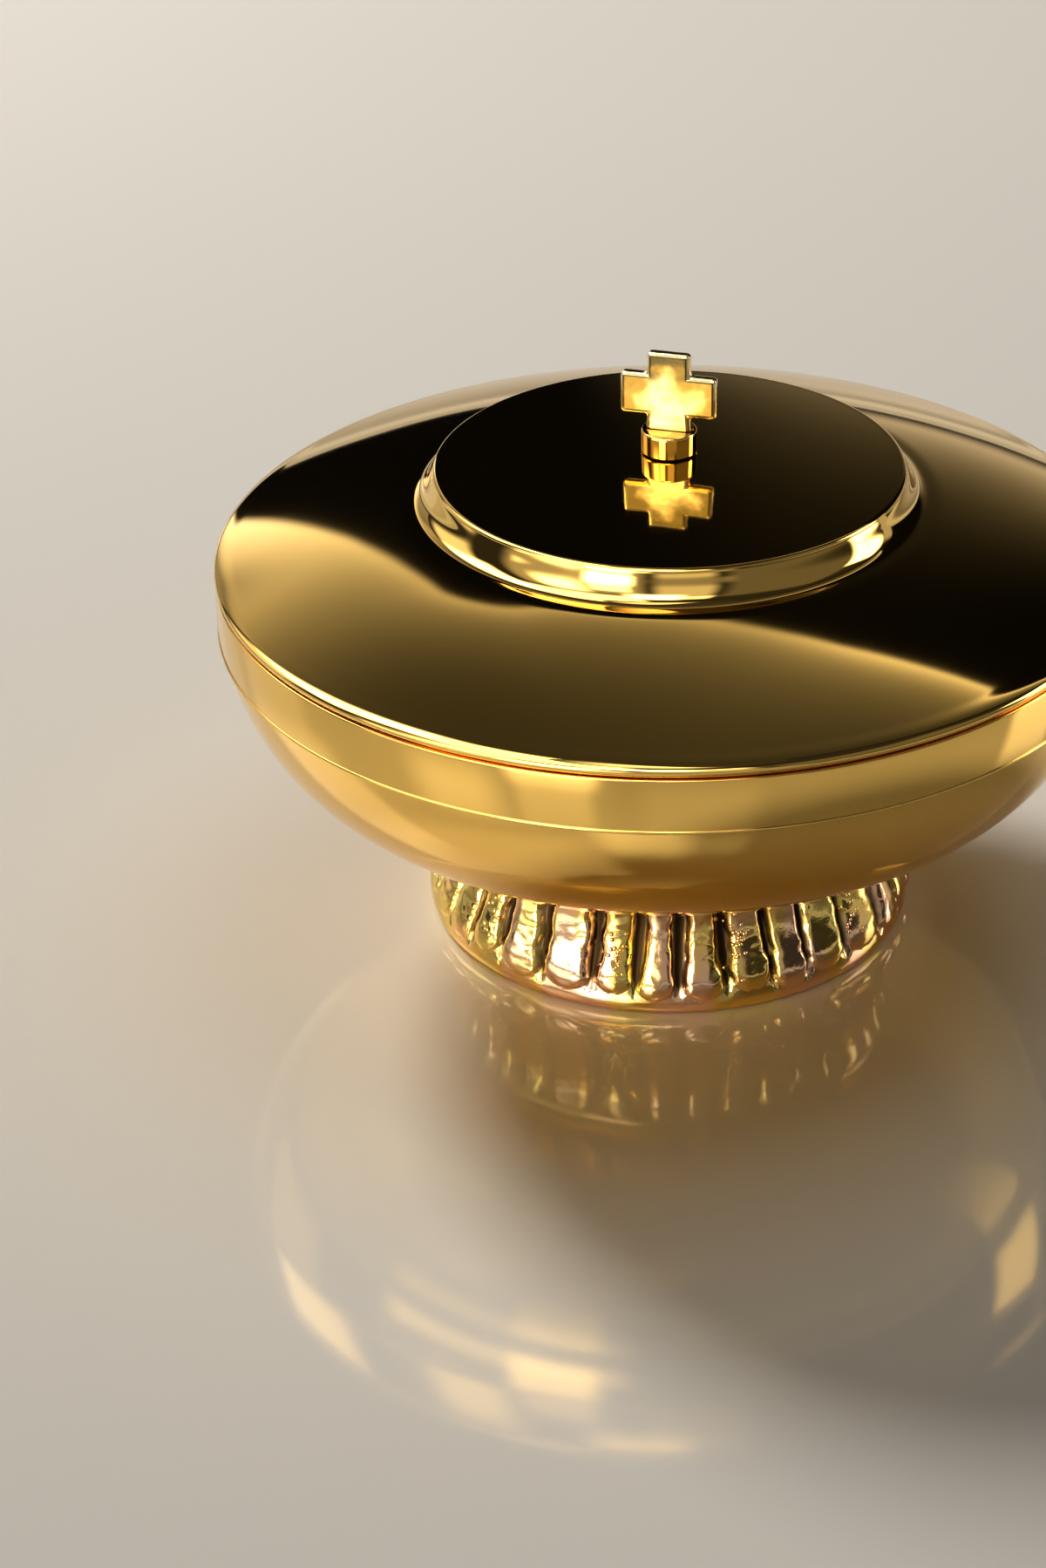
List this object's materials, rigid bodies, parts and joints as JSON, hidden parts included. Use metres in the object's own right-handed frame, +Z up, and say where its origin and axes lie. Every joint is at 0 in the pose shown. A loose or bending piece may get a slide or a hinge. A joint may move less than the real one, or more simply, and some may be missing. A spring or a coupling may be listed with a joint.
{
  "type": "low covered ciborium",
  "caption": "Low gold-plated bowl ciborium with a lift-off domed cover, a small cross finial and a lobed ring foot.",
  "frame": {"origin": "centre of the foot's resting ring, on the surface that the vessel stands on", "axes": "+Z up along the vessel's axis; the cross faces -Y and its arms run along X"},
  "size_m": [0.16, 0.16, 0.1068],
  "materials": {
    "polished_gilt_brass": "mirror-polished gold plate over spun brass",
    "hammered_gilt_brass": "gold plate over cast brass with punched and hammered lobes",
    "cast_gilt_brass": "gold plate over a softly filed casting",
    "bare_brass": "turned brass, unplated"
  },
  "bodies": {
    "vessel": {"foot_ring": "hammered_gilt_brass", "foot_clamp_plate": "bare_brass", "foot_stud": "bare_brass", "foot_washer": "bare_brass", "foot_nut": "bare_brass", "bowl": "polished_gilt_brass", "rim_band": "polished_gilt_brass"},
    "lid": {"cover": "polished_gilt_brass", "locating_ring": "polished_gilt_brass", "finial_collar": "polished_gilt_brass", "finial_cross": "cast_gilt_brass", "finial_stud": "bare_brass", "finial_washer": "bare_brass", "finial_nut": "bare_brass"}
  },
  "joints": [
    {"name": "cover_lift", "type": "slide", "parent": "vessel", "child": "lid", "axis": [0, 0, 1], "range_m": [0, 0.06]}
  ]
}
